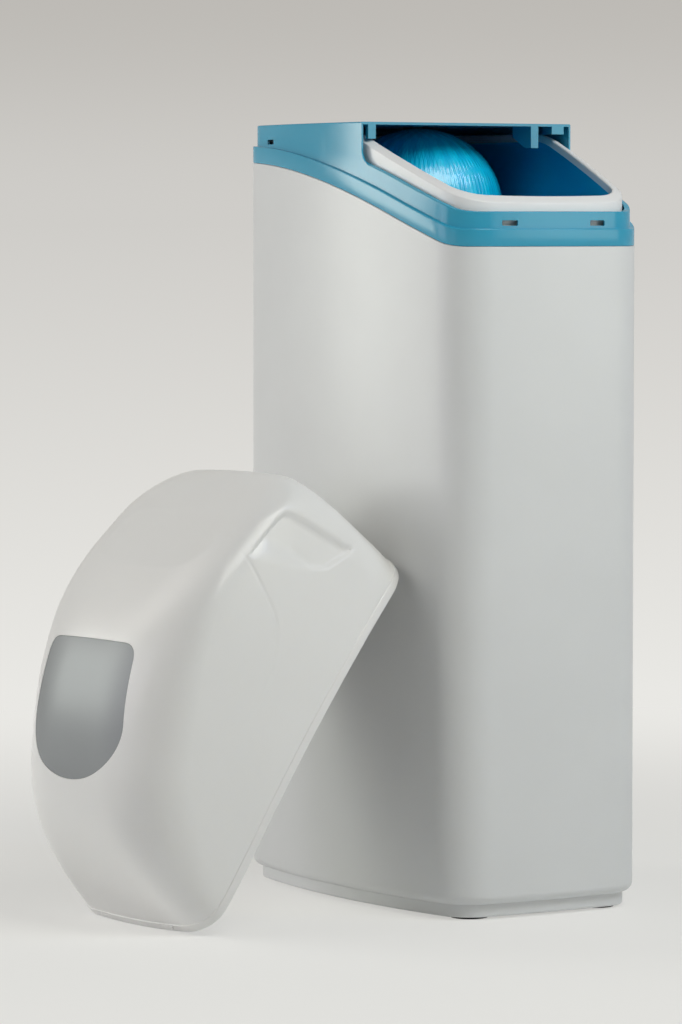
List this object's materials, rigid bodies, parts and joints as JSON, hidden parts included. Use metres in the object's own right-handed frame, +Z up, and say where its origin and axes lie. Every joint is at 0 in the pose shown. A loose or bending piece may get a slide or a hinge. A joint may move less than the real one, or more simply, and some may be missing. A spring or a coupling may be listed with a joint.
{
  "type": "cabinet water softener",
  "caption": "Tall cabinet water softener with S-curved stepped collar and hood, pressure vessel, brine tank, control valve and lift-off lid leaning beside it.",
  "frame": {"origin": "on the floor under the middle of the cabinet base", "axes": "+X to the cabinet's right seen from the front, +Y to its back, +Z up"},
  "size_m": [0.7354, 0.5515, 0.967],
  "materials": {
    "white_shell": "fine satin",
    "rubber": "matt",
    "teal_shell": "satin, soft highlights",
    "steel": "plated",
    "tank_blue": "satin",
    "rim_white": "satin",
    "natural_plastic": "satin, milky",
    "vessel_blue": "wound fibre under clear resin",
    "black_plastic": "moulded",
    "grey_plastic": "moulded",
    "board_green": "lacquered board",
    "lid_white": "satin, slightly milky",
    "smoked_pane": "smooth smoked grey"
  },
  "bodies": {
    "cabinet": {"brine_line": "natural_plastic", "brine_tank": "tank_blue", "brine_well": "natural_plastic", "cabinet_body": "white_shell", "circuit_board": "board_green", "control_box": "grey_plastic", "control_cover": "black_plastic", "drain_fitting": "grey_plastic", "drive_plate": "grey_plastic", "feed_pipe": "natural_plastic", "foot_front_left": "rubber", "foot_front_right": "rubber", "foot_rear_left": "rubber", "foot_rear_right": "rubber", "frame_screw_left": "steel", "frame_screw_right": "steel", "gear_motor": "steel", "injector_plug": "grey_plastic", "inlet_nut": "grey_plastic", "inlet_seal": "rubber", "inlet_stub": "black_plastic", "lower_strainer": "natural_plastic", "neck_adapter": "black_plastic", "neck_seal": "rubber", "outlet_nut": "grey_plastic", "outlet_seal": "rubber", "outlet_stub": "black_plastic", "overflow_elbow": "grey_plastic", "overflow_nut": "grey_plastic", "power_inlet": "black_plastic", "pressure_vessel": "vessel_blue", "return_pipe": "natural_plastic", "riser_tube": "natural_plastic", "safety_valve": "natural_plastic", "salt_grid": "natural_plastic", "spool_cage": "natural_plastic", "tank_rim": "rim_white", "top_frame": "teal_shell", "upper_strainer": "natural_plastic", "valve_body": "black_plastic", "valve_bracket": "steel", "valve_end_cap": "black_plastic", "vessel_stand": "black_plastic"},
    "lid": {"lid_shell": "lid_white", "lid_window": "smoked_pane"},
    "float": {"float": "rim_white"},
    "gear": {"drive_gear": "natural_plastic"},
    "pinion": {"motor_pinion": "steel"},
    "piston": {"spool_piston": "grey_plastic"},
    "well_cap": {"brine_well_cap": "natural_plastic"}
  },
  "joints": [
    {"name": "lid_lift", "type": "slide", "parent": "cabinet", "child": "lid", "axis": [0, 0, 1], "range_m": [0, 0.4]},
    {"name": "float_rise", "type": "slide", "parent": "cabinet", "child": "float", "axis": [0, 0, 1], "range_m": [0, 0.022]},
    {"name": "gear_turn", "type": "hinge", "parent": "cabinet", "child": "gear", "pos_m": [-0.085, 0.19, 0.88], "axis": [1, 0, 0], "range_deg": [0, 720]},
    {"name": "pinion_turn", "type": "hinge", "parent": "cabinet", "child": "pinion", "pos_m": [-0.085, 0.19, 0.9124], "axis": [1, 0, 0], "range_deg": [-3600, 0]},
    {"name": "piston_travel", "type": "slide", "parent": "cabinet", "child": "piston", "axis": [-1, 0, 0], "range_m": [0, 0.03]},
    {"name": "well_cap_lift", "type": "slide", "parent": "cabinet", "child": "well_cap", "axis": [0, 0, 1], "range_m": [0, 0.022]}
  ],
  "couplings": [
    {"joint": "pinion_turn", "follows": "gear_turn", "ratio": -4},
    {"joint": "piston_travel", "follows": "gear_turn", "m_per_rad": 0.002228}
  ]
}
